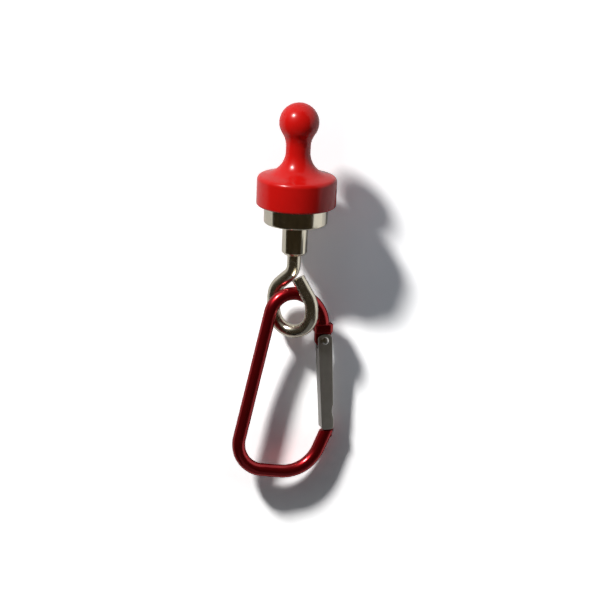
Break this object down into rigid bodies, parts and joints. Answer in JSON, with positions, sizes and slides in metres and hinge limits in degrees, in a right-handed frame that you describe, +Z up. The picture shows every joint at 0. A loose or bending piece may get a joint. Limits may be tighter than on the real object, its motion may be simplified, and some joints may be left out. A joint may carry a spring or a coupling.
{
  "type": "magnetic hook with snap carabiner",
  "caption": "Red skittle magnet holding a pot magnet with a wire eye, from which a red snap carabiner hangs for keys or light items.",
  "frame": {"origin": "centre of the pot magnet's holding face", "axes": "+Z up along the axis from the pot magnet towards the skittle's knob, -Y towards the viewer of the picture, +X to the right"},
  "size_m": [0.0253, 0.02, 0.0965],
  "materials": {
    "red_plastic": "gloss moulded",
    "magnet_plating": "nickel plated",
    "pot_plating": "bright nickel plated",
    "magnet_core": "ground, dark grey",
    "resin": "cast",
    "bush_plating": "bright nickel plated",
    "eye_plating": "bright nickel plated",
    "red_anodised": "red anodised",
    "gate_aluminium": "bare, drawn sheet",
    "rivet_metal": "bare",
    "pin_steel": "bright drawn",
    "spring_steel": "drawn spring wire"
  },
  "bodies": {
    "pot": {"pot_shell": "pot_plating", "pot_magnet": "magnet_core", "pot_resin_ring": "resin", "threaded_bush": "bush_plating"},
    "grip": {"grip_body": "red_plastic", "grip_magnet": "magnet_plating"},
    "eye": {"eye_hook": "eye_plating"},
    "carabiner": {"carabiner_frame": "red_anodised", "gate_push_pin": "pin_steel", "gate_spring": "spring_steel"},
    "gate": {"gate": "gate_aluminium", "gate_rivet": "rivet_metal"}
  },
  "joints": [
    {"name": "grip_pull", "type": "slide", "parent": "pot", "child": "grip", "axis": [0, 0, 1], "range_m": [0, 0.03]},
    {"name": "eye_swivel", "type": "hinge", "parent": "pot", "child": "eye", "pos_m": [0, 0, -0.0125], "axis": [0, 0, 1], "range_deg": [-90, 90]},
    {"name": "carabiner_swing", "type": "hinge", "parent": "eye", "child": "carabiner", "pos_m": [0, -0.001, -0.02232], "axis": [0.9613, 0.2756, 0], "range_deg": [-20, 8]},
    {"name": "gate_hinge", "type": "hinge", "parent": "carabiner", "child": "gate", "pos_m": [0.00808, 0.00131, -0.03453], "axis": [-0.2756, 0.9613, 0], "range_deg": [0, 30], "stiffness_Nm_per_rad": 0.002, "springref_deg": -28.65}
  ]
}
